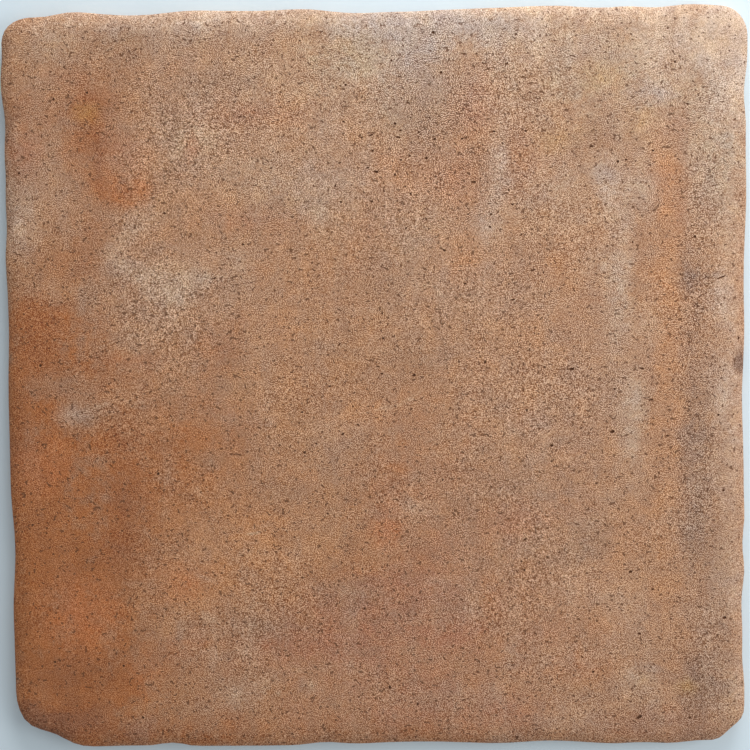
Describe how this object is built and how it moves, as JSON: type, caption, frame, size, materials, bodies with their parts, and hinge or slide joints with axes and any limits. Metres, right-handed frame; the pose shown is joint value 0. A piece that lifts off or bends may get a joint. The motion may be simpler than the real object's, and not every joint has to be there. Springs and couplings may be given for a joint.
{
  "type": "terracotta floor tile",
  "caption": "Square rustic terracotta floor tile with a wavy worn outline, rounded corners and wearing edge, a flat mottled face and a keyed back for bedding in adhesive.",
  "frame": {"origin": "middle of the tile's square outline, on the plane of the back's ribs", "axes": "+Z from the keyed back to the wearing face, +X to the right and +Y to the back edge as seen from above"},
  "size_m": [0.33, 0.33, 0.01],
  "materials": {
    "terracotta": "matte"
  },
  "bodies": {
    "root": {"tile": "terracotta"}
  },
  "joints": []
}
